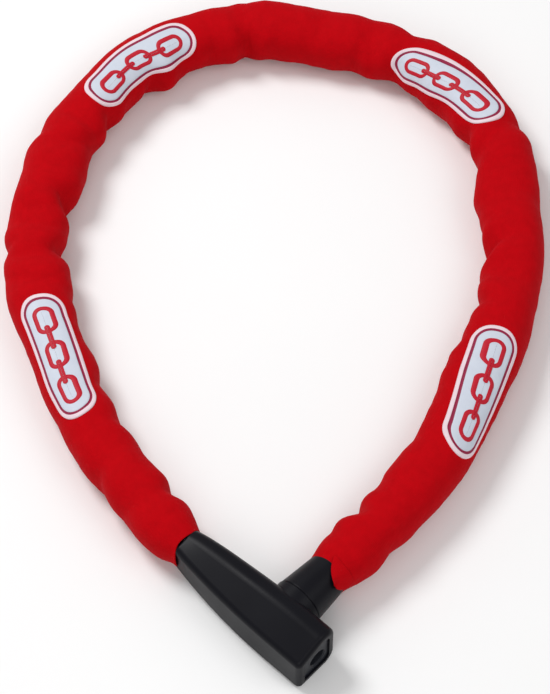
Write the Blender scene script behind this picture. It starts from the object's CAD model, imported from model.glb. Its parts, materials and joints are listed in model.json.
import json
from math import cos, pi, radians, sin, tau

import bpy
import numpy as np
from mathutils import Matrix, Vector, noise


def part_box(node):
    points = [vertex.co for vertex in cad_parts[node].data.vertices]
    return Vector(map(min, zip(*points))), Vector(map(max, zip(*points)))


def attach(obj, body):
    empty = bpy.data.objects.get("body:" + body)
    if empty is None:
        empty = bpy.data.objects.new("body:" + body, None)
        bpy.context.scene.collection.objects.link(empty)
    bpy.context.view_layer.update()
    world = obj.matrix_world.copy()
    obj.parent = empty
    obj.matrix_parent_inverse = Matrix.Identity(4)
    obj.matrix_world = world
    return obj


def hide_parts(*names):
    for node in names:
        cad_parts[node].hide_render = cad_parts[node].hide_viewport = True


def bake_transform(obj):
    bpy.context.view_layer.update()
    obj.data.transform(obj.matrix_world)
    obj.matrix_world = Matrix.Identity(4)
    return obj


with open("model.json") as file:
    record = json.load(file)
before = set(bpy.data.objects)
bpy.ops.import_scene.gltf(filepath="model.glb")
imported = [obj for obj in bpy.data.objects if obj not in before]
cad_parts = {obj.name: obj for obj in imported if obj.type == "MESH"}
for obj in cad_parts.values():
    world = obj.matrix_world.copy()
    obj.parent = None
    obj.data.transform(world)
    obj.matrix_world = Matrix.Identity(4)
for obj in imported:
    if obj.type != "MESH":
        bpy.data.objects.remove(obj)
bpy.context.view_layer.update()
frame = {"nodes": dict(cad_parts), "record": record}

MM = 0.001
SLEEVE_Z = 0.012            # middle of the chain over the floor
HALF_WIDTH = 12.4           # of the sleeve, mm
HALF_HEIGHT = 11.6
CHAIN_ROOM = 9.2            # the links inside keep the cloth this far from their line, mm
PLUG_MOUTH_REACH = 9.0      # length over which the sleeve draws in to each mouth, mm
NECK_MOUTH_REACH = 7.0
STEP = 1.25                 # mesh step along the sleeve, mm
AROUND = 96


# ---------------------------------------------------------------- route of the sleeve
def middle(node):
    lo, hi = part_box(node)
    return np.array([(lo[0] + hi[0]) / 2, (lo[1] + hi[1]) / 2]) / MM


LINKS = [middle(f"link_{i:02d}") for i in range(1, 28)]
JOINTS = {j["name"]: j for j in frame["record"]["behaviour"]["joints"]}
OUT = np.array(JOINTS["key_turn"]["axis"][:2])       # out of the key end
SIDE = np.array(JOINTS["plug_slide"]["axis"][:2])    # the way the plug is pulled
KEY_AXIS = np.array(JOINTS["key_turn"]["pos_m"]) / MM
KEY_END = KEY_AXIS[:2] + 8 * OUT                     # middle of the key end face


def lock_xy(x, y):
    """Plan point, mm, from the lock's own axes: x out of the key end, y towards the plug."""
    return KEY_END + x * OUT + y * SIDE


MOUTH_PLUG = lock_xy(-20.0, 28.6)
MOUTH_NECK = lock_xy(-68.3, 0.0)


def smooth_line(points, per=24):
    """Catmull-Rom curve through the points, and the length along it at each of its points."""
    p = np.vstack([2 * points[0] - points[1], points, 2 * points[-1] - points[-2]])
    t = np.linspace(0, 1, per, endpoint=False)[:, None]
    rows = [0.5 * (2 * b + (c - a) * t + (2 * a - 5 * b + 4 * c - d) * t ** 2
                   + (3 * b - a - 3 * c + d) * t ** 3)
            for a, b, c, d in zip(p, p[1:], p[2:], p[3:])]
    line = np.vstack(rows + [p[-2:-1]])
    length = np.r_[0, np.cumsum(np.linalg.norm(np.diff(line, axis=0), axis=1))]
    return line, length


ROUTE, LENGTH = smooth_line(np.array([MOUTH_PLUG, *LINKS, MOUTH_NECK]))
TOTAL = LENGTH[-1]


def at(s):
    """Plan point, direction and outward normal of the route at s mm from the plug."""
    s = np.asarray(s, float)
    inside = np.clip(s, 0, TOTAL)
    point = np.stack([np.interp(inside, LENGTH, ROUTE[:, k]) for k in (0, 1)], -1)
    ahead = np.stack([np.interp(inside + 2, LENGTH, ROUTE[:, k]) for k in (0, 1)], -1)
    back = np.stack([np.interp(inside - 2, LENGTH, ROUTE[:, k]) for k in (0, 1)], -1)
    along = ahead - back
    along = along / np.linalg.norm(along, axis=-1, keepdims=True)
    point = point + along * (s - inside)[..., None]
    return point, along, np.stack([along[..., 1], -along[..., 0]], -1)


def s_of(point):
    """Length along the route nearest to a plan point."""
    return float(LENGTH[np.argmin(np.linalg.norm(ROUTE - np.array(point), axis=1))])


# ---------------------------------------------------------------- folds of the fabric
# (mm from the plug, side, depth in mm, half length in mm, lean in mm):
# side is the angle round the sleeve, 0 outwards, 90 up, 180 inwards.
PINCHES = [
    (26, 175, 3.4, 4.0, -2), (17, 60, 1.6, 5.0, 2), (24, 0, 1.6, 5.0, -3),
    (148, 165, 2.2, 4.0, 3), (176, 165, 3.8, 4.2, -4), (166, 120, 1.2, 6.0, 5),
    (241, 40, 1.9, 4.0, 3), (246, 170, 2.4, 5.0, -3), (302, 160, 2.6, 3.8, 3),
    (305, 20, 1.5, 5.0, -5), (324, 175, 1.6, 5.0, 2), (343, 100, 1.1, 5.0, 3),
    (377, 165, 3.6, 4.2, 2), (383, 80, 1.5, 4.0, -2), (398, 170, 2.0, 5.0, 3),
    (412, 175, 1.8, 5.0, -3), (433, 165, 2.8, 5.0, 4), (449, 120, 1.0, 6.0, -3),
    (466, 170, 3.2, 4.2, 2), (476, 95, 1.4, 4.5, 3), (487, 30, 1.2, 5.0, -2),
    (520, 165, 3.6, 4.6, 3), (527, 110, 1.7, 6.0, -4), (549, 165, 3.6, 4.6, -3),
    (553, 60, 1.6, 4.5, 4), (546, 0, 1.4, 3.0, 0), (622, 175, 1.6, 5.0, -2),
    (646, 170, 1.8, 5.0, 3), (664, 10, 1.8, 5.0, -4), (686, 175, 1.8, 4.0, 2),
    (682, 40, 1.2, 5.0, 2), (537, 100, 2.2, 7.0, 2), (566, 75, 1.6, 4.5, 5), (236, 110, 1.9, 5.0, -5),
    (378, 80, 1.5, 3.6, 2), (316, 130, 1.6, 4.0, -4), (489, 125, 1.6, 4.0, -5), (160, 120, 1.6, 7.0, 2),
    (11, 100, 1.6, 4.0, 3), (205, 70, 0.9, 9.0, 6), (345, 60, 0.8, 9.0, -6), (425, 60, 0.8, 7.0, 4)]
# (mm from the plug, outward shift in mm, half length in mm): where the tube leaves the chain's line
DRIFT = [(110, -1.6, 26), (206, -1.8, 16), (278, -1.3, 14), (334, -2.8, 26), (392, -1.2, 14),
         (424, -1.2, 10), (462, -1.0, 18), (545, 0.2, 25), (597, -1.3, 20), (682, -1.0, 14)]
# (mm from the plug, extra half width in mm, half length in mm)
SWELL = [(30, -1.4, 15), (85, -0.5, 14), (112, 1.4, 30), (205, 1.6, 14), (278, 1.4, 12),
         (302, -0.6, 8), (345, 1.0, 18), (423, 2.2, 10), (498, 1.6, 12), (566, 1.2, 14),
         (632, -0.9, 10), (664, -0.7, 12), (682, -1.1, 15)]


# middle of each label: mm from the plug, angle round the sleeve, degrees it turns per mm
LABELS = {"top_left": (435, 111, -0.15), "top_right": (274, 117, 0.75),
          "left": (607, 80, -0.15), "right": (101, 69, 0.5)}
LABEL_HALF = (31.0, 9.3)


def bump(x):
    return np.exp(-x * x)


def angle_gap(a, b):
    return (a - b + 180) % 360 - 180


def fbm(s, deg, scale_s, scale_a, seed):
    """Smooth noise over the sleeve, the same wherever a piece starts."""
    out = np.empty(s.shape)
    for i in np.ndindex(s.shape):
        a = radians(deg[i])
        out[i] = noise.noise(Vector((s[i] / scale_s + seed, cos(a) * scale_a, sin(a) * scale_a)))
    return out


def under_label(s, deg):
    """1 well away from the labels, falling to 0 in the middle of one."""
    free = np.ones(s.shape)
    for s_mid, deg_mid, slope in LABELS.values():
        u = (s - s_mid) / 34.0
        v = angle_gap(deg, deg_mid + slope * (s - s_mid)) / 62.0
        free *= 1 - 0.72 * np.exp(-np.abs(u) ** 6) * np.exp(-np.abs(v) ** 4)
    return free


def sleeve_offsets(s, deg):
    """(outward, up) of the sleeve's skin from the chain's line, mm; deg is 0 outwards, 90 up."""
    a = np.radians(deg)
    swell = sum(w * bump((s - c) / l) for c, w, l in SWELL)
    drift = sum(w * bump((s - c) / l) for c, w, l in DRIFT)
    # both mouths draw in, the one on the neck a little flatter than round
    at_plug = np.exp(-(np.clip(s, 0, None) / PLUG_MOUTH_REACH) ** 1.5)
    at_neck = np.exp(-(np.clip(TOTAL - s, 0, None) / NECK_MOUTH_REACH) ** 1.5)
    mouth = 1 - 0.28 * at_plug - 0.30 * at_neck
    wide = (HALF_WIDTH + swell) * (mouth - 0.06 * at_neck)
    high = (HALF_HEIGHT + 0.25 * swell) * (mouth + 0.02 * at_neck)
    push = np.zeros(s.shape)
    for c, side, depth, half, lean in PINCHES:
        gap = angle_gap(deg, side)
        x = (s - c - lean * gap / 60) / half
        reach = np.exp(-(gap / 58.0) ** 2)
        shoulders = bump((x - 1.9) / 1.1) + bump((x + 1.9) / 1.1)
        push -= depth * reach * (np.exp(-np.abs(x) ** 1.35) - 0.42 * shoulders)
    inner = np.clip(-np.cos(a), 0, 1)
    ripple = fbm(s, deg, 9.0, 0.55, 3.1) * (0.45 + 0.75 * inner)
    soft = fbm(s, deg, 26.0, 0.8, 11.7) * 0.7
    fine = fbm(s, deg, 3.4, 1.3, 7.9) * 0.16
    gain = np.clip(mouth * 1.9 - 0.95, 0.2, 1) * under_label(s, deg)
    radius = 1 + (push + ripple + soft + fine) * gain / HALF_WIDTH
    c, z = np.cos(a), np.sin(a)
    power = 2 / 2.25
    out = np.sign(c) * np.abs(c) ** power * wide * radius
    up = np.sign(z) * np.abs(z) ** power * high * radius
    size = np.hypot(out, up)
    room = (CHAIN_ROOM - drift * c) * np.clip(mouth + 0.08, 0, 1)
    grow = np.maximum(size, room) / size
    out, up = out * grow + drift * np.clip(mouth * 2 - 1, 0, 1), up * grow
    floor = -SLEEVE_Z / MM + 0.15
    flat = floor + 1.2      # below this the cloth settles softly on the floor
    up = np.where(up < flat, floor + 1.2 * np.exp((np.minimum(up, flat) - floor - 1.2) / 1.2), up)
    return out, up


def skin(s, deg, lift=0.0):
    """Points of the sleeve's skin in metres, lifted off it by lift mm."""
    s, deg = np.broadcast_arrays(np.asarray(s, float), np.asarray(deg, float))
    out, up = sleeve_offsets(s, deg)
    if lift:
        size = np.hypot(out, up)
        out, up = out * (1 + lift / size), up * (1 + lift / size)
    point, _, normal = at(s)
    return np.stack([point[..., 0] + out * normal[..., 0], point[..., 1] + out * normal[..., 1],
                     SLEEVE_Z / MM + up], -1) * MM


# ---------------------------------------------------------------- materials
def new_material(name, base, rough, **sockets):
    mat = bpy.data.materials.new(name)
    mat.use_nodes = True
    tree = mat.node_tree
    shader = tree.nodes["Principled BSDF"]
    shader.inputs["Base Color"].default_value = (*base, 1)
    shader.inputs["Roughness"].default_value = rough
    for key, value in sockets.items():
        shader.inputs[key.replace("_", " ")].default_value = value
    return mat, tree, shader


def add(tree, kind, **settings):
    node = tree.nodes.new(kind)
    for key, value in settings.items():
        if key in node.inputs:
            node.inputs[key].default_value = value
        else:
            setattr(node, key, value)
    return node


def mottle(tree, shader, coords, base, other, scale, strength=0.5):
    """Base colour that drifts between two tones."""
    grain = add(tree, "ShaderNodeTexNoise", Scale=scale, Detail=4.0, Roughness=0.6)
    mix = add(tree, "ShaderNodeMix", data_type="RGBA")
    ramp = add(tree, "ShaderNodeMapRange")
    ramp.inputs["From Min"].default_value = 0.5 - 0.5 * strength
    ramp.inputs["From Max"].default_value = 0.5 + 0.5 * strength
    tree.links.new(coords, grain.inputs["Vector"])
    tree.links.new(grain.outputs["Fac"], ramp.inputs["Value"])
    tree.links.new(ramp.outputs["Result"], mix.inputs["Factor"])
    mix.inputs["A"].default_value = (*base, 1)
    mix.inputs["B"].default_value = (*other, 1)
    tree.links.new(mix.outputs["Result"], shader.inputs["Base Color"])


def weave_material(name, base, other, pitch, rough, bump_mm=0.1, sheen=0.25, tint=(1, 1, 1),
                   gloss=0.3):
    """Plain woven cloth: threads along and across the piece's UV map, which is in metres."""
    mat, tree, shader = new_material(name, base, rough)
    shader.inputs["Sheen Weight"].default_value = sheen
    shader.inputs["Sheen Roughness"].default_value = 0.4
    shader.inputs["Sheen Tint"].default_value = (*tint, 1)
    shader.inputs["Specular IOR Level"].default_value = gloss
    uv = add(tree, "ShaderNodeUVMap", uv_map="cloth").outputs["UV"]
    mottle(tree, shader, uv, base, other, 260.0, 0.7)
    waves = []
    for direction in ("X", "Y"):
        wave = add(tree, "ShaderNodeTexWave", wave_type="BANDS", bands_direction=direction,
                   wave_profile="SIN", Scale=tau / 20 / (pitch * MM), Distortion=0.6, Detail=1.0)
        wave.inputs["Detail Scale"].default_value = 2.0
        tree.links.new(uv, wave.inputs["Vector"])
        waves.append(wave.outputs["Fac"])
    weave = add(tree, "ShaderNodeMath", operation="MAXIMUM")
    for k, out in enumerate(waves):
        tree.links.new(out, weave.inputs[k])
    bump_node = add(tree, "ShaderNodeBump", Strength=0.55, Distance=bump_mm * MM)
    tree.links.new(weave.outputs["Value"], bump_node.inputs["Height"])
    tree.links.new(bump_node.outputs["Normal"], shader.inputs["Normal"])
    return mat


def moulded_material(name, base, other, rough, grain=900.0, bump_mm=0.04, spread=0.12):
    """Moulded or cast surface: fine grain, and gloss that varies in soft patches."""
    mat, tree, shader = new_material(name, base, rough)
    coords = add(tree, "ShaderNodeTexCoord").outputs["Object"]
    mottle(tree, shader, coords, base, other, 60.0, 0.8)
    fine = add(tree, "ShaderNodeTexNoise", Scale=grain, Detail=3.0)
    wide = add(tree, "ShaderNodeTexNoise", Scale=45.0, Detail=3.0)
    gloss = add(tree, "ShaderNodeMapRange")
    gloss.inputs["To Min"].default_value = rough - spread
    gloss.inputs["To Max"].default_value = rough + spread
    bump_node = add(tree, "ShaderNodeBump", Strength=0.35, Distance=bump_mm * MM)
    for tex in (fine, wide):
        tree.links.new(coords, tex.inputs["Vector"])
    tree.links.new(wide.outputs["Fac"], gloss.inputs["Value"])
    tree.links.new(gloss.outputs["Result"], shader.inputs["Roughness"])
    tree.links.new(fine.outputs["Fac"], bump_node.inputs["Height"])
    tree.links.new(bump_node.outputs["Normal"], shader.inputs["Normal"])
    return mat, shader


def metal_material(name, base, other, rough):
    mat, shader = moulded_material(name, base, other, rough, grain=1400.0, bump_mm=0.02, spread=0.08)
    shader.inputs["Metallic"].default_value = 1.0
    return mat


RED = weave_material("red_weave", (0.50, 0.0004, 0.004), (0.40, 0.0003, 0.003), 0.62, 0.85,
                     sheen=0.03, tint=(1.0, 0.25, 0.4), gloss=0.06)
LABEL = weave_material("label_field", (0.60, 0.64, 0.72), (0.53, 0.57, 0.66), 0.5, 0.55, 0.04, 0.1)
BORDER = weave_material("label_border", (0.80, 0.66, 0.70), (0.72, 0.56, 0.62), 0.5, 0.6, 0.05, 0.1)
LINE = weave_material("label_line", (0.30, 0.008, 0.05), (0.22, 0.006, 0.04), 0.5, 0.6, 0.04, 0.1)
PRINT = weave_material("label_print", (0.52, 0.002, 0.02), (0.42, 0.002, 0.015), 0.5, 0.55, 0.04, 0.1)
BLACK, BLACK_SHADER = moulded_material("black_shell", (0.0050, 0.0050, 0.0080), (0.0036, 0.0036, 0.0058), 0.40)
PLATE, PLATE_SHADER = moulded_material("grey_plate", (0.016, 0.018, 0.024), (0.011, 0.012, 0.016), 0.42)
BLACK_SHADER.inputs["Specular IOR Level"].default_value = 0.13
PLATE_SHADER.inputs["Specular IOR Level"].default_value = 0.2
STEEL = metal_material("plated_steel", (0.62, 0.60, 0.54), (0.48, 0.47, 0.42), 0.32)
HARD = metal_material("ground_steel", (0.56, 0.56, 0.57), (0.46, 0.46, 0.47), 0.25)
CAST = metal_material("cast_case", (0.50, 0.50, 0.51), (0.42, 0.42, 0.43), 0.5)
BRASS = metal_material("turned_brass", (0.75, 0.55, 0.24), (0.62, 0.44, 0.19), 0.3)
DARK = metal_material("rotor_nickel", (0.22, 0.21, 0.20), (0.14, 0.13, 0.12), 0.38)

FINISH = {"shell_plastic": BLACK, "plate_plastic": PLATE, "case_metal": CAST, "hard_steel": HARD,
          "pin_steel": STEEL, "cylinder_brass": BRASS, "rotor_metal": DARK, "chain_steel": STEEL,
          "sleeve_fabric": RED}
for part in frame["record"]["subparts"]:
    node = frame["nodes"][part["node"]]
    for place in node.material_slots:
        place.material = FINISH[part["material_slot"]]


# ---------------------------------------------------------------- meshes
def grid_faces(rows, cols, closed):
    """Quads of a grid, wound so that they face the way grid_normals points."""
    quads = []
    for i in range(rows - 1):
        for j in range(cols if closed else cols - 1):
            k = (j + 1) % cols
            quads.append((i * cols + j, (i + 1) * cols + j, (i + 1) * cols + k, i * cols + k))
    return quads


def grid_object(name, points, normals, uv, mat, closed, flip=False):
    """Mesh from a (rows, columns, 3) grid, with its own shading normals."""
    rows, cols = points.shape[:2]
    verts = points.reshape(-1, 3)
    faces = grid_faces(rows, cols, closed)
    if flip:
        faces = [face[::-1] for face in faces]
    mesh = bpy.data.meshes.new(name)
    mesh.from_pydata(verts.tolist(), [], faces)
    layer = mesh.uv_layers.new(name="cloth")
    loops = np.empty(len(mesh.loops), dtype=np.int32)
    mesh.loops.foreach_get("vertex_index", loops)
    flat = uv.reshape(-1, 2)[loops].copy()
    if closed:
        # the quads across the seam carry on past the last column, not back to the first
        quads, last = flat.reshape(-1, 4, 2), uv[..., 1].max()
        wrap = quads[:, :, 1].max(axis=1) - quads[:, :, 1].min(axis=1) > 0.5 * last
        low = quads[:, :, 1] < 0.25 * last
        quads[:, :, 1] += np.where(wrap[:, None] & low, last * cols / (cols - 1), 0)
        flat = quads.reshape(-1, 2)
    layer.data.foreach_set("uv", flat.ravel())
    for poly in mesh.polygons:
        poly.use_smooth = True
    if normals is not None:
        mesh.normals_split_custom_set_from_vertices(normals.reshape(-1, 3).tolist())
    mesh.materials.append(mat)
    obj = bpy.data.objects.new(name, mesh)
    bpy.context.scene.collection.objects.link(obj)
    return obj


def grid_normals(points, closed):
    """Outward normals of a grid by central differences."""
    down = np.gradient(points, axis=0)
    if closed:
        across = np.roll(points, -1, axis=1) - np.roll(points, 1, axis=1)
    else:
        across = np.gradient(points, axis=1)
    n = np.cross(down, across)
    return n / (np.linalg.norm(n, axis=-1, keepdims=True) + 1e-12)


ROWS = int(TOTAL / STEP) + 1
S_ROWS = np.linspace(0, TOTAL, ROWS)
DEGREES = np.linspace(0, 360, AROUND, endpoint=False)
S_GRID, A_GRID = np.meshgrid(S_ROWS, DEGREES, indexing="ij")


def mouth_shift(s, deg):
    """The cut edges are not square: they run a little longer on some sides."""
    wave = np.cos(np.radians(deg - 300)) + 0.5 * np.cos(np.radians(2 * deg + 40))
    far = np.cos(np.radians(deg - 320)) + 0.4 * np.cos(np.radians(3 * deg))
    return -0.9 * wave * bump(s / 8) + 1.3 * far * bump((TOTAL - s) / 8)


SKIN = skin(S_GRID + mouth_shift(S_GRID, A_GRID), A_GRID)
NORMALS = grid_normals(SKIN, True)
FLIP = bool(np.mean(NORMALS[:, AROUND // 4, 2]) < 0)
if FLIP:
    NORMALS = -NORMALS
CLOTH_UV = np.stack([S_GRID * MM, np.radians(A_GRID) * 12 * MM], -1)

HINGES = [("side_sway", "plug", "right"), ("sway_right_top", "right", "crown_1"),
          ("crown_open_right", "crown_1", "crown_2"), ("crown_open_top", "crown_2", "crown_3"),
          ("crown_open_left", "crown_3", "crown_4"), ("sway_left_top", "crown_4", "left"),
          ("sway_left_low", "left", "neck_run")]
HINGE_S = [s_of(np.array(JOINTS[name]["pos_m"][:2]) / MM) for name, _, _ in HINGES]
CUTS = [0.0, (HINGE_S[0] + HINGE_S[1]) / 2, (HINGE_S[1] + HINGE_S[2]) / 2, HINGE_S[3] - 16,
        HINGE_S[3] + 16, (HINGE_S[4] + HINGE_S[5]) / 2, (HINGE_S[5] + HINGE_S[6]) / 2, TOTAL]
STANDS_FOR = [("sleeve_plug_end",), ("sleeve_right",), ("sleeve_crown_1",), ("sleeve_crown_2",),
              ("sleeve_crown_3",), ("sleeve_crown_4", "sleeve_left"), ("sleeve_neck_end",)]


def bend_with(obj):
    """obj follows the two bodies of hinge k, turning near its pivot."""
    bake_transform(obj)


for k in range(7):
    rows = [i for i in range(ROWS) if CUTS[k] - STEP / 2 <= S_ROWS[i] <= CUTS[k + 1] + STEP / 2]
    pts, nrm, uv = SKIN[rows], NORMALS[rows], CLOTH_UV[rows]
    if k in (0, 6):                 # a turned-in hem at each mouth
        first = k == 0
        edge = pts[0] if first else pts[-1]
        centre = edge.mean(axis=0)
        _, along, _ = at(0.0 if first else TOTAL)
        inward = np.array([*along, 0]) * (1 if first else -1)
        hem = [edge + (centre - edge) * t + inward * d * MM
               for t, d in ((0.03, -0.35), (0.09, -0.1), (0.11, 2.5))]
        hem_n = [nrm[0 if first else -1] * c - inward * w
                 for c, w in ((0.6, 0.8), (-0.3, 0.95), (-1, 0.1))]
        hem_uv = [uv[0 if first else -1] + np.array([d * MM, 0]) for d in (0.5, 1.2, 3.5)]
        if first:
            pts, nrm = np.vstack([np.array(hem[::-1]), pts]), np.vstack([np.array(hem_n[::-1]), nrm])
            uv = np.vstack([np.array(hem_uv[::-1]), uv])
        else:
            pts, nrm = np.vstack([pts, np.array(hem)]), np.vstack([nrm, np.array(hem_n)])
            uv = np.vstack([uv, np.array(hem_uv)])
    obj = grid_object(f"sleeve_{k + 1}", pts, nrm, uv, RED, True, FLIP)
    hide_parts(*STANDS_FOR[k])
    bend_with(obj)


# ---------------------------------------------------------------- sewn-on labels
def stadium(half_length, half_width, straight=34, cap=22):
    """(middle x, direction) pairs round a stadium; a ring is middle + r * direction."""
    reach = half_length - half_width
    marks = [(x, (0, -1)) for x in np.linspace(-reach, reach, straight)]
    marks += [(reach, (sin(a), -cos(a))) for a in np.linspace(0, pi, cap)[1:-1]]
    marks += [(x, (0, 1)) for x in np.linspace(reach, -reach, straight)]
    marks += [(-reach, (-sin(a), cos(a))) for a in np.linspace(0, pi, cap)[1:-1]]
    return np.array([m for m, _ in marks]), np.array([d for _, d in marks])


def label_rings(name, label, mats, half_length, rings, shift=0.0):
    """Closed rings of a stadium laid on the sleeve; rings are (radius, lift, material index)."""
    s_mid, deg_mid, slope = label
    x, way = stadium(half_length, rings[0][0])
    grid = []
    for radius, lift, _ in rings:
        u, v = x + way[:, 0] * radius + shift, way[:, 1] * radius
        s = s_mid + u
        deg = deg_mid + slope * u - np.degrees(v / 12.2)
        grid.append(skin(s, deg, lift))
    grid = np.array(grid)
    down = grid_normals(grid, True)[..., 2].mean() < 0
    uv = np.array([np.stack([(x + way[:, 0] * r) * MM, (way[:, 1] * r + 20) * MM], -1)
                   for r, _, _ in rings])
    rows, cols = grid.shape[:2]
    faces = [face[::-1] if down else face for face in grid_faces(rows, cols, True)]
    index = [rings[i + 1][2] for i in range(rows - 1) for _ in range(cols)]
    mesh = bpy.data.meshes.new(name)
    mesh.from_pydata(grid.reshape(-1, 3).tolist(), [], faces)
    layer = mesh.uv_layers.new(name="cloth")
    loops = np.empty(len(mesh.loops), dtype=np.int32)
    mesh.loops.foreach_get("vertex_index", loops)
    layer.data.foreach_set("uv", uv.reshape(-1, 2)[loops].ravel())
    for mat in mats:
        mesh.materials.append(mat)
    for poly, slot in zip(mesh.polygons, index):
        poly.use_smooth = True
        poly.material_index = slot
    obj = bpy.data.objects.new(name, mesh)
    bpy.context.scene.collection.objects.link(obj)
    bend_with(obj)
    return obj


for name, label in LABELS.items():
    w = LABEL_HALF[1]
    fabric = [(w, 0.05, 0), (w - 0.12, 0.42, 0), (w - 0.6, 0.55, 0), (w - 1.4, 0.55, 0),
              (w - 1.8, 0.5, 0), (w - 1.9, 0.38, 1), (w - 2.9, 0.38, 1), (w - 3.0, 0.5, 2)]
    fabric += [(r, 0.5, 2) for r in np.linspace(w - 3.6, 0.02, 8)]
    label_rings(f"label_{name}", label, [BORDER, LINE, LABEL], LABEL_HALF[0], fabric)
    for i, x in enumerate((-17.6, -8.8, 0.0, 8.8, 17.6)):
        if i % 2 == 0:
            rings = [(3.9, 0.52, 0), (3.8, 0.62, 0), (2.2, 0.62, 0), (2.1, 0.52, 0)]
            half = 6.8
        else:
            rings = [(1.0, 0.66, 0), (0.85, 0.74, 0), (0.05, 0.74, 0)]
            half = 6.0
        label_rings(f"label_{name}_chain_{i + 1}", label, [PRINT], half, rings, shift=x)


# ---------------------------------------------------------------- loose tongue of cloth on the plug
PLUG_END_Y, PLUG_END_R, PLUG_TAPER = 31.6, 8.65, 0.088     # the cover's cone under the tongue


def tongue():
    """The sleeve's cut edge laps over the plug in one curled tongue."""
    rows = []
    for t in np.linspace(0, 1, 22):
        y = 32.6 - 8.8 * t
        cone = PLUG_END_R + (PLUG_END_Y - min(y, PLUG_END_Y)) * PLUG_TAPER
        radius = cone + 0.55 + 0.9 * (1 - t) ** 2 + 0.9 * t ** 4
        middle_deg, half = 46 + 4 * t, 40 * (1 - t ** 1.7) ** 0.8 + 5
        row = []
        for u in np.linspace(-1, 1, 22):
            a = radians(middle_deg + half * u)
            lift = radius + 0.25 * sin(5 * u + 6 * t)
            xy = lock_xy(-20.0 + lift * sin(a), y)
            row.append([xy[0], xy[1], SLEEVE_Z / MM + lift * cos(a)])
        rows.append(row)
    pts = np.array(rows) * MM
    down = bool(grid_normals(pts, False)[..., 2].mean() < 0)
    t, u = np.meshgrid(np.linspace(0, 0.009, 22), np.linspace(0, 0.012, 22), indexing="ij")
    obj = grid_object("sleeve_tongue", pts, None, np.stack([t, u], -1), RED, False, down)
    thick = obj.modifiers.new("thickness", "SOLIDIFY")
    thick.thickness = 0.5 * MM
    thick.offset = 0
    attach(obj, "plug")


tongue()


# ---------------------------------------------------------------- floor, light, camera
def floor():
    mesh = bpy.data.meshes.new("floor")
    size = 3.0
    corners = [(-size, -size, 0), (size, -size, 0), (size, size, 0), (-size, size, 0)]
    mesh.from_pydata(corners, [], [(0, 1, 2, 3)])
    obj = bpy.data.objects.new("floor", mesh)
    pale = (0.9, 0.9, 0.9)
    mat, tree, shader = new_material("pale_floor", pale, 0.8)
    coords = add(tree, "ShaderNodeTexCoord").outputs["Object"]
    mottle(tree, shader, coords, pale, (0.88, 0.88, 0.88), 6.0)
    mesh.materials.append(mat)
    bpy.context.scene.collection.objects.link(obj)
    obj.location.z = -0.0002


def area_light(name, place, aim, size, power, colour=(1, 1, 1)):
    light = bpy.data.lights.new(name, "AREA")
    light.shape, light.size, light.energy, light.color = "DISK", size, power, colour
    obj = bpy.data.objects.new(name, light)
    obj.location = place
    obj.rotation_euler = (Vector(aim) - Vector(place)).to_track_quat("-Z", "Y").to_euler()
    bpy.context.scene.collection.objects.link(obj)


floor()
area_light("key", (-0.7, 0.5, 1.2), (0, 0, 0), 0.6, 12.5)
area_light("fill", (0.9, -0.5, 1.2), (0, 0, 0), 1.0, 4)
area_light("front", (-0.2, -1.2, 1.0), (0, 0, 0), 0.8, 4)
world = bpy.data.worlds.new("studio")
world.use_nodes = True
world.node_tree.nodes["Background"].inputs["Color"].default_value = (1, 1, 1, 1)
world.node_tree.nodes["Background"].inputs["Strength"].default_value = 0.46
bpy.context.scene.world = world
bpy.context.scene.view_settings.view_transform = "Standard"

ELEVATION = radians(56)
FOCAL_PX, IMAGE_H = 2500, 694
DISTANCE = 1.0489
# the camera looks at this point inside the loop, placed from the key end
AIM = Vector(((KEY_END[0] - 15.7) * MM, (KEY_END[1] + 149.6) * MM, 0))
camera = bpy.data.cameras.new("camera")
camera.sensor_width = 36
camera.lens = FOCAL_PX * 36 / IMAGE_H
eye = bpy.data.objects.new("camera", camera)
eye.location = AIM + DISTANCE * Vector((0, -cos(ELEVATION), sin(ELEVATION)))
eye.rotation_euler = (pi / 2 - ELEVATION, 0, 0)
bpy.context.scene.collection.objects.link(eye)
bpy.context.scene.camera = eye
